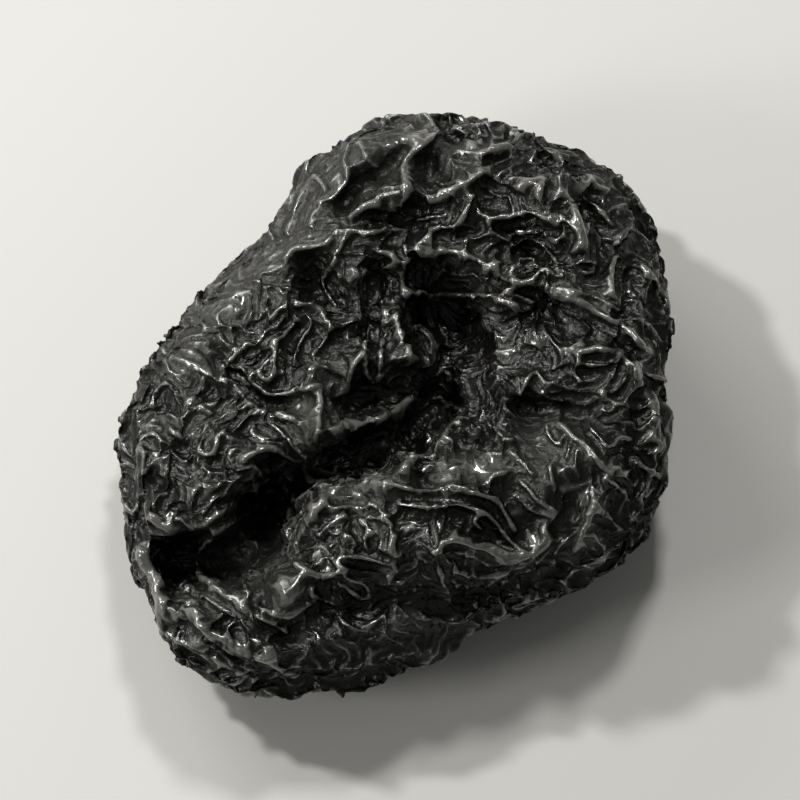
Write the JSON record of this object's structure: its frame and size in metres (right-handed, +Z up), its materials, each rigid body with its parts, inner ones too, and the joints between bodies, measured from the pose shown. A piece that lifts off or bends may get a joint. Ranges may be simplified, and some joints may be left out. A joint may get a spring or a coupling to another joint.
{
  "type": "dried cherry",
  "caption": "Stoned sweet cherry, shrunk and dried black: a flattened wrinkled pillow, sunk in the middle, its skin split to one side.",
  "frame": {"origin": "on the surface that the cherry lies on, under the middle of its bounding box", "axes": "+Z up, out of the sunken top; +Y and +X in the surface, with the skin's split running from the middle towards -X -Y"},
  "size_m": [0.0196, 0.0214, 0.0081],
  "materials": {
    "skin": "near-black dried fruit skin, satin, finely wrinkled"
  },
  "bodies": {
    "root": {"dried_cherry": "skin"}
  },
  "joints": []
}
